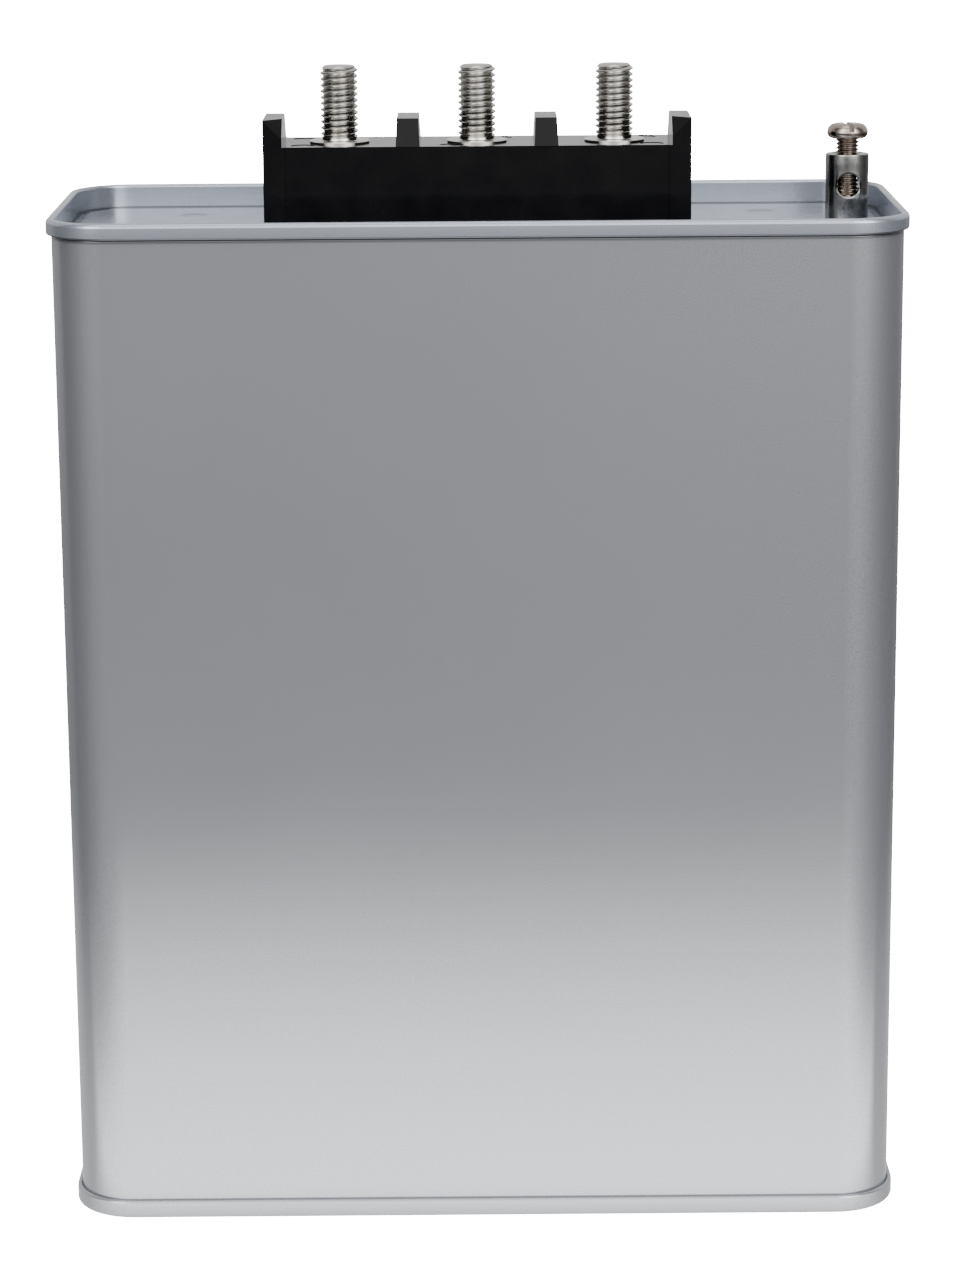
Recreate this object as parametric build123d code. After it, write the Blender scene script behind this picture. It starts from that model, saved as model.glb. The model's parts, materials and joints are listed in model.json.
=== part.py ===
from build123d import *
import os

# A three-phase power factor correction capacitor in a rectangular tinplate can.
# Millimetres. X runs along the can's length, Y from front to back and Z up.
# The origin is the centre of the face that the bottom seam stands on.

# The can: a folded wrapper, closed by a lid and a base in rolled double seams
CAN_LENGTH = 173.0
CAN_DEPTH = 70.0
CAN_HEIGHT = 211.5
CORNER_R = 12.0
SHEET = 0.36
TOP_SEAM = 3.3
BOTTOM_SEAM = 3.94
SEAM_BEVEL = 0.3
HOOK_GAP = 0.15
LAP_WIDTH = 5.0
LAP_CLEAR = 0.3

# The recess pressed into the lid and the base, with its groove and raised panel
RECESS = 5.0
GROOVE = 5.6
GROOVE_WIDTH = 1.8
PANEL_EDGE = 6.0

# The moulded terminal block
BLOCK_LENGTH = 88.0
BLOCK_DEPTH = 21.6
BLOCK_HEIGHT = 16.35
BLOCK_EDGE_R = 0.4
BARRIER_HEIGHT = 5.55
END_BARRIER = 3.9
PILLAR_WIDTH = 4.4
FACE_RECESS = 0.4
MIDDLE_BARRIER_FOOT = 5.0
MIDDLE_BARRIER_TOP = 4.5
BARRIER_FRONT_DRAFT = 0.5
BARRIER_BACK_SLOPE = 4.6
BARRIER_BACK_R = 3.0
PLUG_LENGTH = 78.0
PLUG_DEPTH = 13.0
PLUG_HEIGHT = 1.3
WINDOW_GAP = 0.2
GASKET = 1.0
GASKET_INSET = 0.5
CLAMP_PLATE_LENGTH = 92.0
CLAMP_PLATE_DEPTH = 24.0
CLAMP_PLATE = 4.0

# The terminal studs: thread above, collar sunk in the block, shank through the lid
STUD_PITCH = 28.5
STUD_R = 3.9
STUD_RISE = 15.85
STUD_CHAMFER = 0.8
COLLAR_R = 6.3
COLLAR = 3.0
COLLAR_PROUD = 0.45
SHANK_R = 3.0
SHANK_HOLE_R = 3.1
NUT_FLATS = 10.0
NUT = 5.0
SHANK_END = 2.0

# The earth post and its clamp screw
POST_X = 77.0
POST_R = 4.5
POST_HEIGHT = 14.3
CROSS_HOLE_R = 2.75
CROSS_HOLE_HEIGHT = 8.0
POST_BORE_R = 2.4
POST_BORE_PAST = 1.2
POST_COUNTERSINK_R = 3.1
POST_SHANK_R = 2.45
POST_SHANK_HOLE_R = 2.6
POST_NUT_FLATS = 8.0
POST_NUT = 4.0
POST_SHANK_END = 1.5
SCREW_R = 2.4
SCREW_LENGTH = 12.0
SCREW_LIFT = 3.1
HEAD_R = 4.25
HEAD_HEIGHT = 3.1
HEAD_CROWN = 1.3
SLOT_WIDTH = 1.1
SLOT_DEPTH = 1.5
SLOT_TURN = 7.0

# The three wound film elements and the insulation round them
ELEMENT_PITCH = 56.5
ELEMENT_R = 27.0
ELEMENT_HEIGHT = 150.0
LINER = 0.8
LINER_TOP = 203.0
PLATE = 1.6
FIT_GAP = 0.15
POTTING_TOP = 172.0

# The copper straps, and the resistors that discharge the elements
STRAP = 0.8
STRAP_WIDTH = 8.0
RISER_Y = 31.0
FOOT_REACH = 25.0
FORK = 7.0
JUMPER_Z = 192.0
JUMPER_Y = 16.0
ARM_Y = 12.0
RESISTOR = 5.2
RESISTOR_LENGTH = 15.0
RESISTOR_Y = 5.0
RESISTOR_DROP = 4.8
LONG_RESISTOR_DROP = 10.8
LEAD = 0.8
LEAD_REACH = 5.0

# Heights that follow from the sizes above
panel_top = CAN_HEIGHT - RECESS
panel_under = panel_top - SHEET
block_foot = panel_top + GASKET
block_top = block_foot + BLOCK_HEIGHT
barrier_top = block_top + BARRIER_HEIGHT
clamp_plate_under = panel_under - CLAMP_PLATE
bar_under = clamp_plate_under - STRAP
nut_under = bar_under - NUT
stud_foot = nut_under - SHANK_END
post_top = panel_top + POST_HEIGHT
cross_hole_z = panel_top + CROSS_HOLE_HEIGHT
stack_foot = RECESS + SHEET
floor_z = stack_foot + PLATE
element_foot = floor_z + STRAP
element_top = element_foot + ELEMENT_HEIGHT
top_plate_foot = element_top + STRAP
top_plate_top = top_plate_foot + PLATE
stud_places = [-STUD_PITCH, 0.0, STUD_PITCH]
element_places = [-ELEMENT_PITCH, 0.0, ELEMENT_PITCH]


def slab(length, depth, foot, top, corner=0.0):
    """A flat plate between two heights, with rounded corners where they are asked for."""
    outline = RectangleRounded(length, depth, corner) if corner else Rectangle(length, depth)
    return extrude(Pos(0, 0, foot) * outline, amount=top - foot)


def cut_slab(length, depth, foot, top, corner):
    """A flat plate between two heights, with its corners cut off straight."""
    outline = Rectangle(length, depth)
    outline = chamfer(outline.vertices(), corner)
    return extrude(Pos(0, 0, foot) * outline, amount=top - foot)


def bar(x0, x1, y0, y1, z0, z1):
    """A straight bar between two opposite corners."""
    middle = Pos((x0 + x1) / 2, (y0 + y1) / 2, (z0 + z1) / 2)
    return middle * Box(x1 - x0, y1 - y0, z1 - z0)


def rod(radius, foot, top, x=0.0, y=0.0):
    """An upright round bar between two heights."""
    return Pos(x, y, foot) * extrude(Circle(radius), amount=top - foot)


def hexagon_nut(flats, bore, foot, top, x):
    """A hexagon nut with its bore."""
    blank = Pos(x, 0, foot) * extrude(RegularPolygon(flats / 2, 6, major_radius=False), amount=top - foot)
    return blank - rod(bore, foot, top, x)


def folded_strip(points, bevels):
    """The section of a folded sheet: its outer face has a bevel at each fold, its inner face a sharp one.

    The points run along the outer face, and the sheet lies on their right hand.
    """
    line = [Vector(*point) for point in points]
    across = [(after - before).normalized().rotate(Axis.Z, -90) for before, after in zip(line, line[1:])]
    outer = [line[0]]
    inner = [line[0] + across[0] * SHEET]
    for i, bevel in enumerate(bevels, start=1):
        mitre = (across[i - 1] + across[i]) / (1 + across[i - 1].dot(across[i]))
        inner.append(line[i] + mitre * SHEET)
        if bevel:
            outer.append(line[i] + (line[i - 1] - line[i]).normalized() * bevel)
            outer.append(line[i] + (line[i + 1] - line[i]).normalized() * bevel)
        else:
            outer.append(line[i])
    outer.append(line[-1])
    inner.append(line[-1] + across[-1] * SHEET)
    return Plane.XZ * make_face(Polyline(*outer, *reversed(inner), close=True))


def carried_round(section):
    """A section carried round the can: X in the section is measured from the corner's centre."""
    half_x = CAN_LENGTH / 2 - CORNER_R
    half_y = CAN_DEPTH / 2 - CORNER_R
    corner = revolve(section, Axis.Z, revolution_arc=90)
    end_wall = extrude(Pos(half_x, -half_y, 0) * section, amount=2 * half_y, dir=(0, 1, 0))
    side_wall = extrude(Pos(half_x, half_y, 0) * Rot(0, 0, 90) * section, amount=2 * half_x, dir=(-1, 0, 0))
    half = [Pos(half_x, half_y, 0) * corner, end_wall, side_wall]
    half.append(Pos(-half_x, half_y, 0) * Rot(0, 0, 90) * corner)
    pieces = half + [Rot(0, 0, 180) * piece for piece in half]
    return pieces[0].fuse(*pieces[1:])


def can_end(seam, fold_in, fold_bevels):
    """A recessed end for the can, with its seam's outer face at height 0, from its panel outwards."""
    wall = CORNER_R - 2 * SHEET
    outside = CORNER_R + 3 * SHEET
    points = fold_in + [
        (wall, 0),
        (outside, 0),
        (outside, -seam),
        (CORNER_R, -seam),
        (CORNER_R, -2 * SHEET - HOOK_GAP),
    ]
    bevels = [0] * (len(fold_in) - 1) + fold_bevels
    rim = carried_round(folded_strip(points, bevels))
    inset = 2 * (CORNER_R - PANEL_EDGE)
    panel = slab(CAN_LENGTH - inset, CAN_DEPTH - inset, -RECESS - SHEET, -RECESS, PANEL_EDGE)
    return rim.fuse(panel)


def make_lid():
    """The lid, grooved round its panel, with a window for the block's plug and a hole for the post."""
    wall = CORNER_R - 2 * SHEET
    groove_edge = wall - GROOVE_WIDTH
    groove = [(PANEL_EDGE, -RECESS), (groove_edge, -RECESS), (groove_edge, -GROOVE), (wall, -GROOVE)]
    lid = Pos(0, 0, CAN_HEIGHT) * can_end(TOP_SEAM, groove, [0, SEAM_BEVEL, 0, 0])
    window = slab(PLUG_LENGTH + 2 * WINDOW_GAP, PLUG_DEPTH + 2 * WINDOW_GAP, panel_under, panel_top)
    return lid - window - rod(POST_SHANK_HOLE_R, panel_under, panel_top, POST_X)


def make_base():
    """The base: a plain recessed pressing, turned over, with a taller seam."""
    recess = [(PANEL_EDGE, -RECESS), (CORNER_R - 2 * SHEET, -RECESS)]
    return mirror(can_end(BOTTOM_SEAM, recess, [0, SEAM_BEVEL, 0, 0]), about=Plane.XY)


def make_can_body():
    """The wrapper, flanged outwards into both seams, with its lapped joint at the back."""
    inside = CORNER_R - SHEET
    hook = CORNER_R + 2 * SHEET
    points = [
        (hook, BOTTOM_SEAM - SHEET - HOOK_GAP),
        (hook, SHEET),
        (inside, SHEET),
        (inside, CAN_HEIGHT - SHEET),
        (hook, CAN_HEIGHT - SHEET),
        (hook, CAN_HEIGHT - TOP_SEAM + SHEET + HOOK_GAP),
    ]
    wrapper = carried_round(folded_strip(points, [0, 0, 0, 0]))
    back = CAN_DEPTH / 2
    lap_foot = BOTTOM_SEAM + LAP_CLEAR
    lap_top = CAN_HEIGHT - TOP_SEAM - LAP_CLEAR
    lap = bar(-LAP_WIDTH / 2, LAP_WIDTH / 2, back, back + SHEET, lap_foot, lap_top)
    return wrapper.fuse(lap)


def barrier_side():
    """The side view of a barrier: steep in front, with a rounded slope down to the back."""
    front = -BLOCK_DEPTH / 2
    back = BLOCK_DEPTH / 2
    crest = back - BARRIER_BACK_SLOPE
    line = FilletPolyline(
        (back, block_top),
        (crest, barrier_top),
        (front + BARRIER_FRONT_DRAFT, barrier_top),
        radius=BARRIER_BACK_R,
    )
    outline = line + Polyline((front + BARRIER_FRONT_DRAFT, barrier_top), (front, block_top), (back, block_top))
    return Plane.YZ * make_face(outline.edges())


def middle_barrier(x):
    """A barrier between two studs, with drafted sides."""
    side = extrude(Pos(x - MIDDLE_BARRIER_FOOT / 2, 0, 0) * barrier_side(), amount=MIDDLE_BARRIER_FOOT, dir=(1, 0, 0))
    foot = MIDDLE_BARRIER_FOOT / 2
    top = MIDDLE_BARRIER_TOP / 2
    front_view = Polygon((-foot, block_top), (foot, block_top), (top, barrier_top), (-top, barrier_top), align=None)
    draft = extrude(Pos(x, BLOCK_DEPTH / 2, 0) * (Plane.XZ * front_view), amount=BLOCK_DEPTH, dir=(0, -1, 0))
    return side & draft


def end_barrier():
    """The right end barrier: flush with its pillar below a slanting crease, drafted above it."""
    inner = BLOCK_LENGTH / 2 - END_BARRIER
    outer = BLOCK_LENGTH / 2
    front = -BLOCK_DEPTH / 2
    back = BLOCK_DEPTH / 2
    crest = back - BARRIER_BACK_SLOPE
    line = FilletPolyline((back, block_top), (crest, barrier_top), (front, barrier_top), radius=BARRIER_BACK_R)
    outline = line + Polyline((front, barrier_top), (front, block_top), (back, block_top))
    side = Plane.YZ * make_face(outline.edges())
    blank = extrude(Pos(inner, 0, 0) * side, amount=END_BARRIER, dir=(1, 0, 0))
    crease_top = Vector(outer, front, barrier_top)
    crease_foot = Vector(inner, front, block_top)
    set_back = Vector(inner, front + BARRIER_FRONT_DRAFT, barrier_top)
    normal = (crease_foot - crease_top).cross(set_back - crease_top)
    cut = Plane(origin=crease_top, z_dir=normal if normal.Y > 0 else -normal)
    return split(blank, bisect_by=cut, keep=Keep.TOP)


def make_terminal_block():
    """The moulded block: a bar with end pillars, four barriers and three stud seats."""
    block = slab(BLOCK_LENGTH, BLOCK_DEPTH, block_foot, block_top)
    upright = block.edges().filter_by(Axis.Z)
    block = fillet(upright, BLOCK_EDGE_R)
    inner = BLOCK_LENGTH / 2 - PILLAR_WIDTH
    front = -BLOCK_DEPTH / 2
    block = block - bar(-inner, inner, front - 1, front + FACE_RECESS, block_foot - 1, block_top + 1)
    for x in (-STUD_PITCH / 2, STUD_PITCH / 2):
        block = block + middle_barrier(x)
    right = end_barrier()
    block = block + right + mirror(right, about=Plane.YZ)
    block = block + slab(PLUG_LENGTH, PLUG_DEPTH, block_foot - PLUG_HEIGHT, block_foot)
    for x in stud_places:
        block = block - rod(COLLAR_R, block_top + COLLAR_PROUD - COLLAR, block_top + 1, x)
        block = block - rod(SHANK_HOLE_R, block_foot - PLUG_HEIGHT, block_top, x)
    return block


def make_gasket():
    """The rubber frame between the block and the lid."""
    outline = 2 * GASKET_INSET
    frame = slab(BLOCK_LENGTH - outline, BLOCK_DEPTH - outline, panel_top, block_foot)
    return frame - slab(PLUG_LENGTH + 2 * WINDOW_GAP, PLUG_DEPTH + 2 * WINDOW_GAP, panel_top, block_foot)


def make_clamp_plate():
    """The insulating plate under the lid that the studs pull the block down against, slotted from the back."""
    plate = slab(CLAMP_PLATE_LENGTH, CLAMP_PLATE_DEPTH, clamp_plate_under, panel_under)
    for x in stud_places:
        x0, x1 = x - SHANK_HOLE_R, x + SHANK_HOLE_R
        plate = plate - bar(x0, x1, -SHANK_HOLE_R, CLAMP_PLATE_DEPTH / 2, clamp_plate_under, panel_under)
    return plate


def make_stud(x):
    """A turned stud: threaded end, necked foot, round collar and threaded shank."""
    collar_top = block_top + COLLAR_PROUD
    collar_foot = collar_top - COLLAR
    top = block_top + STUD_RISE
    outline = Polyline(
        (0, stud_foot),
        (SHANK_R, stud_foot),
        (SHANK_R, collar_foot),
        (COLLAR_R, collar_foot),
        (COLLAR_R, collar_top),
        (STUD_R, collar_top),
        (STUD_R, top - STUD_CHAMFER),
        (STUD_R - STUD_CHAMFER, top),
        (0, top),
        close=True,
    )
    return Pos(x, 0, 0) * revolve(Plane.XZ * make_face(outline), Axis.Z)


def make_nuts():
    """The three nuts that clamp the studs, the block, the lid and the bars together."""
    return [hexagon_nut(NUT_FLATS, SHANK_R, nut_under, bar_under, x) for x in stud_places]


def make_earth_post():
    """The earth post: a turned pillar with a cross hole, a tapped bore and a threaded shank."""
    shank_foot = panel_under - POST_NUT - POST_SHANK_END
    bore_foot = cross_hole_z - CROSS_HOLE_R - POST_BORE_PAST
    outline = Polyline(
        (0, shank_foot),
        (POST_SHANK_R, shank_foot),
        (POST_SHANK_R, panel_top),
        (POST_R, panel_top),
        (POST_R, post_top),
        (POST_COUNTERSINK_R, post_top),
        (POST_BORE_R, post_top + POST_BORE_R - POST_COUNTERSINK_R),
        (POST_BORE_R, bore_foot),
        (0, bore_foot),
        close=True,
    )
    post = revolve(Plane.XZ * make_face(outline), Axis.Z)
    hole = Pos(0, 0, cross_hole_z) * Rot(90, 0, 0) * Cylinder(CROSS_HOLE_R, 2 * POST_R + 2)
    return Pos(POST_X, 0, 0) * (post - hole)


def make_clamp_screw():
    """The screw that clamps the earth wire in the cross hole, with a slotted pan head."""
    head_foot = post_top + SCREW_LIFT
    head_top = head_foot + HEAD_HEIGHT
    outline = Polyline(
        (0, head_foot - SCREW_LENGTH),
        (SCREW_R, head_foot - SCREW_LENGTH),
        (SCREW_R, head_foot),
        (HEAD_R, head_foot),
        (HEAD_R, head_top - HEAD_CROWN),
        (HEAD_R - HEAD_CROWN, head_top),
        (0, head_top),
        close=True,
    )
    screw = revolve(Plane.XZ * make_face(outline), Axis.Z)
    slot = bar(-SLOT_WIDTH / 2, SLOT_WIDTH / 2, -HEAD_R - 1, HEAD_R + 1, head_top - SLOT_DEPTH, head_top + 1)
    return Pos(POST_X, 0, 0) * (screw - Rot(0, 0, SLOT_TURN) * slot)


def make_element(x):
    """A roll of metallised film on its core, sprayed with metal at both ends."""
    return rod(ELEMENT_R, element_foot, element_top, x)


def make_liner():
    """The pressboard sleeve inside the can's wall, creased beside each corner."""
    length = CAN_LENGTH - 2 * SHEET
    depth = CAN_DEPTH - 2 * SHEET
    sleeve = cut_slab(length, depth, floor_z, LINER_TOP, CORNER_R)
    return sleeve - cut_slab(length - 2 * LINER, depth - 2 * LINER, floor_z, LINER_TOP, CORNER_R)


def make_floor_plate():
    """The insulating plate that the stack stands on."""
    clear = 2 * (SHEET + FIT_GAP)
    return cut_slab(CAN_LENGTH - clear, CAN_DEPTH - clear, stack_foot, floor_z, CORNER_R)


def make_fill(foot, top, straps):
    """A layer that fills the liner between two heights, round the straps."""
    inside = 2 * (SHEET + LINER)
    layer = cut_slab(CAN_LENGTH - inside, CAN_DEPTH - inside, foot, top, CORNER_R)
    for strap in straps:
        layer = layer - strap
    return layer


def make_strap(x, side, end, foot, top):
    """A strap: its foot is soldered across an element's end, and its riser runs up beside the liner."""
    half = STRAP_WIDTH / 2
    y0, y1 = sorted((side * RISER_Y, side * (RISER_Y - FOOT_REACH)))
    across = bar(x - half, x + half, y0, y1, end, end + STRAP)
    y0, y1 = sorted((side * RISER_Y, side * (RISER_Y - STRAP)))
    return across + bar(x - half, x + half, y0, y1, foot, top)


def terminal_bar(x, arms):
    """A flat bar forked round its stud, with arms that lie on the straps' upper ends."""
    plate = bar(x - FORK, x + FORK, -FORK, FORK, bar_under, clamp_plate_under)
    for x0, x1, y0, y1 in arms:
        plate = plate + bar(x0, x1, y0, y1, bar_under, clamp_plate_under)
    return plate - bar(x - SHANK_HOLE_R, x + FORK, -SHANK_HOLE_R, SHANK_HOLE_R, bar_under, clamp_plate_under)


def make_terminal_bars():
    """The three terminal bars of the delta connection, left to right."""
    half = STRAP_WIDTH / 2
    left, middle, right = element_places
    bar_left = terminal_bar(-STUD_PITCH, [
        (left - half, -STUD_PITCH - half, -half, half),
        (left - half, left + half, -RISER_Y, half),
    ])
    bar_middle = terminal_bar(0.0, [
        (-half, half, -RISER_Y, -half),
        (-half, half, half, ARM_Y + STRAP_WIDTH),
        (left - half, half, ARM_Y, ARM_Y + STRAP_WIDTH),
        (left - half, left + half, ARM_Y, RISER_Y),
    ])
    bar_right = terminal_bar(STUD_PITCH, [
        (STUD_PITCH - half, STUD_PITCH + half, half, RISER_Y),
        (middle - half, right + half, RISER_Y - STRAP_WIDTH, RISER_Y),
    ])
    return [bar_left, bar_middle, bar_right]


def make_jumper():
    """The strap that closes the delta, from the left element's riser to the right element's."""
    half = STRAP_WIDTH / 2
    reach = RISER_Y - STRAP
    top = JUMPER_Z + STRAP
    run = bar(-ELEMENT_PITCH - half, ELEMENT_PITCH + half, -JUMPER_Y - STRAP_WIDTH, -JUMPER_Y, JUMPER_Z, top)
    for x in (-ELEMENT_PITCH, ELEMENT_PITCH):
        run = run + bar(x - half, x + half, -reach, -JUMPER_Y, JUMPER_Z, top)
    return run


def make_resistor(x0, x1, y, drop):
    """A discharge resistor in a ceramic case, slung under two terminal bars by its bent leads."""
    z = bar_under - drop
    middle = (x0 + x1) / 2
    half = RESISTOR / 2
    lead = LEAD / 2
    reach = RESISTOR_LENGTH / 2
    resistor = bar(middle - reach, middle + reach, y - half, y + half, z - half, z + half)
    resistor = resistor + bar(x0 - lead, x1 + lead, y - lead, y + lead, z - lead, z + lead)
    for x in (x0, x1):
        resistor = resistor + bar(x - lead, x + lead, y - lead, y + lead, z, bar_under)
    return resistor


def make_parts():
    """Every piece of the capacitor, by the name of its node."""
    parts = {
        "can_body": make_can_body(),
        "lid": make_lid(),
        "base": make_base(),
        "terminal_block": make_terminal_block(),
        "terminal_gasket": make_gasket(),
        "clamp_plate": make_clamp_plate(),
        "stud_nuts": make_nuts(),
        "earth_post": make_earth_post(),
        "clamp_screw": make_clamp_screw(),
        "liner": make_liner(),
        "floor_plate": make_floor_plate(),
        "delta_jumper": make_jumper(),
    }
    parts["earth_nut"] = hexagon_nut(POST_NUT_FLATS, POST_SHANK_R, panel_under - POST_NUT, panel_under, POST_X)

    sides = ["left", "middle", "right"]
    riser_tops = [bar_under, bar_under, JUMPER_Z + STRAP]
    for side, x, stud_x, riser_top in zip(sides, element_places, stud_places, riser_tops):
        parts["stud_" + side] = make_stud(stud_x)
        parts["element_" + side] = make_element(x)
        parts["bottom_strap_" + side] = make_strap(x, -1, floor_z, floor_z, riser_top)
        parts["top_strap_" + side] = make_strap(x, 1, element_top, element_top, bar_under)
    for side, piece in zip(sides, make_terminal_bars()):
        parts["terminal_bar_" + side] = piece

    near = STUD_PITCH - LEAD_REACH
    parts["resistor_left"] = make_resistor(-near, -LEAD_REACH, RESISTOR_Y, RESISTOR_DROP)
    parts["resistor_right"] = make_resistor(LEAD_REACH, near, RESISTOR_Y, RESISTOR_DROP)
    parts["resistor_long"] = make_resistor(-near, near, -RESISTOR_Y, LONG_RESISTOR_DROP)

    straps = [parts[name] for name in parts if "strap" in name]
    parts["top_plate"] = make_fill(top_plate_foot, top_plate_top, straps)
    parts["potting"] = make_fill(top_plate_top, POTTING_TOP, straps)
    return parts


os.makedirs("parts", exist_ok=True)
for name, shape in make_parts().items():
    if isinstance(shape, list):
        shape = Compound(children=shape)
    export_step(shape, "parts/" + name + ".step")
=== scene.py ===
import json
import math
import bpy
from mathutils import Matrix, Vector


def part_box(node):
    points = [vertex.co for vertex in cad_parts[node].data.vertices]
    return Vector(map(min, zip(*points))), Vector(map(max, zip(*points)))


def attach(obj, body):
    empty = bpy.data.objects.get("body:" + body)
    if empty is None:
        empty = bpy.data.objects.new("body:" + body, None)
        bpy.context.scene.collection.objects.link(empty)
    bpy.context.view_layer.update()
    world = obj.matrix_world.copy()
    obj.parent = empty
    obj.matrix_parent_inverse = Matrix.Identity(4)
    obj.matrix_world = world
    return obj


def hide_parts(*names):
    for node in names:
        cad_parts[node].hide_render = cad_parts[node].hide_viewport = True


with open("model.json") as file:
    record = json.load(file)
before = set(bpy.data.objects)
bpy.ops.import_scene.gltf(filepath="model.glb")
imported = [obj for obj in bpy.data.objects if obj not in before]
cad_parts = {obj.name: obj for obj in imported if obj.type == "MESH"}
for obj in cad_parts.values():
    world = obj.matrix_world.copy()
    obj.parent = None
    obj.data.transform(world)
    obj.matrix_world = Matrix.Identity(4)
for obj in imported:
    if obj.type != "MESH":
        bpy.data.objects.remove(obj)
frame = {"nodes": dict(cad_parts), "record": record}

# The looks of a power factor correction capacitor: its painted seamed can, its gloss terminal block
# and its plated studs, earth post and clamp screw. Sizes are in millimetres, and MM turns them into metres.

bl_info = {
    "name": "Power factor correction capacitor",
    "version": (1, 0, 0),
    "blender": (4, 2, 0),
    "location": "3D View > Sidebar > Capacitor",
    "description": "Builds the can, the terminal block, the studs and the earth terminal, and lights them",
    "category": "Object",
}

MM = 0.001

# How near two vertices are merged into one, and how near to a height, a crest or a hole's edge a place counts
MERGE = 0.0005
LEVEL = 0.01
NEAR_CREST = 0.05
NEAR_HOLE = 0.02


def extent(node):
    """The lowest and highest corner of a CAD node, in millimetres."""
    low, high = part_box(node)
    return low / MM, high / MM


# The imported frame's own sizes, which the pieces have to meet
lid_low, lid_high = extent("lid")
body_high = extent("can_body")[1]
block_low, block_high = extent("terminal_block")
stud_low, stud_high = extent("stud_middle")
post_low, post_high = extent("earth_post")
screw_low, screw_high = extent("clamp_screw")

# The can, with the sheet's thickness, its recessed panels and the heights of its two seams
SHEET = 0.36
CORNER_R = 12.0
CORNER_STEPS = 28
CAN_LENGTH = lid_high.x - lid_low.x - 6 * SHEET
CAN_DEPTH = lid_high.y - lid_low.y - 6 * SHEET
CAN_HEIGHT = lid_high.z
RECESS = 5.0
GROOVE = 5.6
GROOVE_WIDTH = 1.8
GROOVE_FOOT_R = 0.7
BASE_FOLD_R = 0.9
PANEL_EDGE = 6.0
PANEL_TOP = CAN_HEIGHT - RECESS
TOP_SEAM = 3.3
BOTTOM_SEAM = 3.94
HOOK_GAP = 0.15

# The shallow crease in the wall right under the top seam: height over the seam's foot, and depth
CREASE = ((0.4, 0.2), (0.1, 0.2), (-0.1, 0.14), (-0.3, 0.04), (-0.45, 0.0))
WALL_FOOT = 20.0

# The lapped joint on the back of the wrapper
LAP_HALF = 2.5
LAP_FOOT = 4.24
LAP_EDGE = 0.12

# The lid's openings and pressed marks
WINDOW_X, WINDOW_Y = 39.2, 6.7
POST_HOLE_R = 2.6
DIMPLE_X, DIMPLE_Y = 60.5, 19.5
DIMPLE_R = 2.4
DIMPLE_FLARE = 1.9

# The terminal block, which stands on a plug through the lid
PLUG_X, PLUG_Y, PLUG_HEIGHT = 39, 6.5, 1.3
BLOCK_HEIGHT = 16.35
BLOCK_TOP = block_low.z + PLUG_HEIGHT + BLOCK_HEIGHT
BARRIER_TOP = block_high.z
BARRIER_SLOPE = 4.6
BARRIER_DRAFT = 0.5
CREST_R = 2.6
CREST_HALF_TURN = math.radians(25)
MIDDLE_BARRIER_HALF = 2.5
MIDDLE_BARRIER_TAPER = 0.9
END_BARRIER = 3.9
END_PILLAR = 4.4
FACE_RECESS = 0.4
POLE_PITCH = 28.5
SEAT_DEPTH = 2.55
SHANK_HOLE_R = 3.1
EJECTOR_R = 2.5
EJECTOR_MARKS = ((-36, -7), (-36, 7), (-5.2, -7), (4.8, 7), (36, -7), (35, 7))

# The studs: the collar sunk in the block, the plain neck over it, and the crest, root and pitch of M8
COLLAR_R = 6.3
COLLAR_HEIGHT = 3.0
COLLAR_RISE = 0.45
NECK_HEIGHT = 0.6
STUD_TOOTH = (3.9, 3.32, 1.25)

# The earth terminal: the post with its shank, bore and cross hole, the rings that keep its shading even
# beside the hole, the screw's head, and the crest, root and pitch of its M5
POST_X = 77.0
POST_R = 4.5
POST_SHANK_R = 2.45
BORE_R = 2.45
BORE_FOOT = 210.6
CROSS_HOLE_Z = 214.5
CROSS_HOLE_OUTSIDE = 3.4
POST_RINGS = (210.5, 211.2, 217.8, 218.5)
HEAD_R = 4.25
HEAD_HEIGHT = 3.1
HEAD_FOOT_EDGE = 1.2
HEAD_TOP_EDGE = 1.75
UNDER_HEAD_R = 2.0
SCREW_TOOTH = (2.4, 1.98, 0.8)


def rounded(corners, steps=5):
    """The line through corners (x, z, radius), with an arc of that radius at each inner one."""
    line = [Vector(corners[0][:2])]
    for before, corner, after in zip(corners, corners[1:], corners[2:]):
        point = Vector(corner[:2])
        radius = corner[2]
        if not radius:
            line.append(point)
            continue
        back = (Vector(before[:2]) - point).normalized()
        on = (Vector(after[:2]) - point).normalized()
        half = back.angle(on) / 2
        centre = point + (back + on).normalized() * radius / math.sin(half)
        start = point + back * radius / math.tan(half) - centre
        sweep = math.pi - 2 * half
        turn = 1 if start.y * back.x > start.x * back.y else -1
        for step in range(steps + 1):
            angle = turn * sweep * step / steps
            swung = Vector((
                start.x * math.cos(angle) - start.y * math.sin(angle),
                start.x * math.sin(angle) + start.y * math.cos(angle),
            ))
            line.append(centre + swung)
    line.append(Vector(corners[-1][:2]))
    return line


def other_face(line, thickness):
    """The line at a sheet's thickness to the right of a line."""
    shifted = []
    for i, point in enumerate(line):
        before = line[max(i - 1, 0)]
        after = line[min(i + 1, len(line) - 1)]
        into = (point - before).normalized() if i else (after - point).normalized()
        out = (after - point).normalized() if i < len(line) - 1 else into
        side_in = Vector((into.y, -into.x))
        side_out = Vector((out.y, -out.x))
        shifted.append(point + (side_in + side_out) * (thickness / (1 + side_in.dot(side_out))))
    return shifted


def deselect_all():
    """Leaves nothing selected."""
    bpy.ops.object.select_all(action="DESELECT")


def activate(piece):
    """Selects one piece alone and makes it the active one."""
    deselect_all()
    piece.select_set(True)
    bpy.context.view_layer.objects.active = piece


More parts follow.
